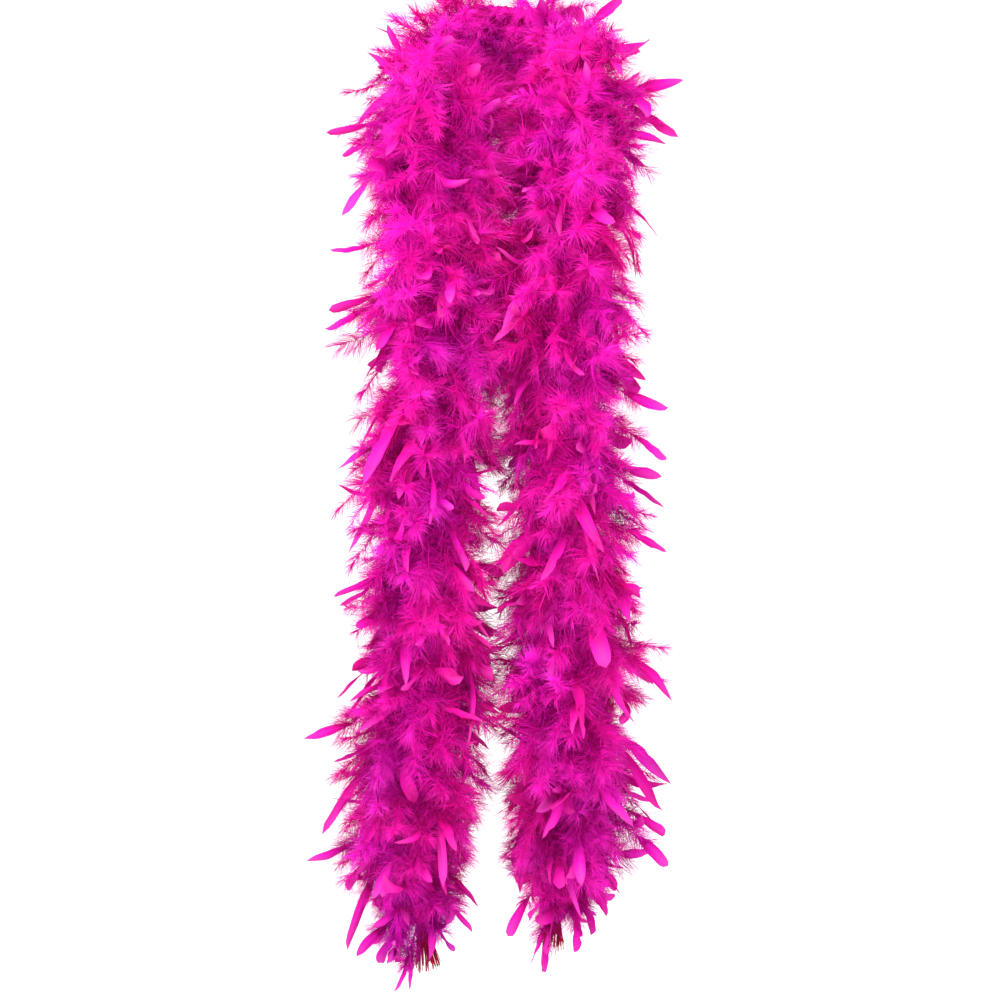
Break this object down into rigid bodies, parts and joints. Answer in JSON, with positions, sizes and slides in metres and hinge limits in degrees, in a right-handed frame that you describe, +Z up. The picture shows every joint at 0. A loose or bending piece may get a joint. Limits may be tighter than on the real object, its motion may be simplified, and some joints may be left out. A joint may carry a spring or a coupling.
{
  "type": "feather boa",
  "caption": "Long fluffy feather boa on a soft twisted cord, worn round the neck with both tails hanging down in front.",
  "frame": {"origin": "where the down leans on the wearer's nape, on the middle of the boa's front face there", "axes": "+X to the right of someone facing the wearer, +Y towards the wearer's back, +Z up along the hanging tails"},
  "size_m": [0.3842, 0.3254, 1.0453],
  "materials": {
    "down": "soft matt down, dyed hot pink",
    "plumes": "dyed feather vanes with a faint silky sheen",
    "core_cord": "twisted two-ply cotton cord, dyed",
    "thread": "fine polyester thread",
    "cut_quills": "dark red dyed horn, satin"
  },
  "bodies": {
    "collar": {"collar_core_cord": "core_cord", "left_chest_locking_thread": "thread", "left_chest_down": "down", "left_chest_plumes": "plumes", "left_shoulder_locking_thread": "thread", "left_shoulder_down": "down", "left_shoulder_plumes": "plumes", "nape_locking_thread": "thread", "nape_down": "down", "nape_plumes": "plumes", "right_shoulder_locking_thread": "thread", "right_shoulder_down": "down", "right_shoulder_plumes": "plumes", "right_chest_locking_thread": "thread", "right_chest_down": "down", "right_chest_plumes": "plumes", "left_shoulder_loose_plumes": "plumes", "right_shoulder_loose_plumes": "plumes"},
    "left_upper": {"left_upper_core_cord": "core_cord", "left_upper_locking_thread": "thread", "left_upper_down": "down", "left_upper_plumes": "plumes"},
    "left_middle": {"left_middle_core_cord": "core_cord", "left_middle_locking_thread": "thread", "left_middle_down": "down", "left_middle_plumes": "plumes"},
    "left_lower": {"left_lower_core_cord": "core_cord", "left_lower_locking_thread": "thread", "left_lower_down": "down", "left_lower_plumes": "plumes", "left_end_knot": "core_cord", "left_end_whipping": "thread", "left_quill_brush": "cut_quills", "left_lower_loose_plumes": "plumes"},
    "right_upper": {"right_upper_core_cord": "core_cord", "right_upper_locking_thread": "thread", "right_upper_down": "down", "right_upper_plumes": "plumes"},
    "right_middle": {"right_middle_core_cord": "core_cord", "right_middle_locking_thread": "thread", "right_middle_down": "down", "right_middle_plumes": "plumes"},
    "right_lower": {"right_lower_core_cord": "core_cord", "right_lower_locking_thread": "thread", "right_lower_down": "down", "right_lower_plumes": "plumes", "right_end_knot": "core_cord", "right_end_whipping": "thread", "right_quill_brush": "cut_quills", "right_lower_loose_plumes": "plumes"}
  },
  "joints": [
    {"name": "left_chest_swing", "type": "hinge", "parent": "collar", "child": "left_upper", "pos_m": [-0.08248, -0.13492, -0.26143], "axis": [-1, 0, 0], "range_deg": [-4, 60]},
    {"name": "left_sway", "type": "hinge", "parent": "left_upper", "child": "left_middle", "pos_m": [-0.087, -0.145, -0.46851], "axis": [0, 1, 0], "range_deg": [0, 45]},
    {"name": "left_end_swing", "type": "hinge", "parent": "left_middle", "child": "left_lower", "pos_m": [-0.09002, -0.14101, -0.67418], "axis": [-1, 0, 0], "range_deg": [-15, 60]},
    {"name": "right_chest_swing", "type": "hinge", "parent": "collar", "child": "right_upper", "pos_m": [0.06607, -0.13391, -0.25937], "axis": [-1, 0, 0], "range_deg": [-4, 60]},
    {"name": "right_sway", "type": "hinge", "parent": "right_upper", "child": "right_middle", "pos_m": [0.07, -0.1435, -0.46652], "axis": [0, -1, 0], "range_deg": [0, 45]},
    {"name": "right_end_swing", "type": "hinge", "parent": "right_middle", "child": "right_lower", "pos_m": [0.07151, -0.14001, -0.67222], "axis": [-1, 0, 0], "range_deg": [-15, 60]}
  ]
}
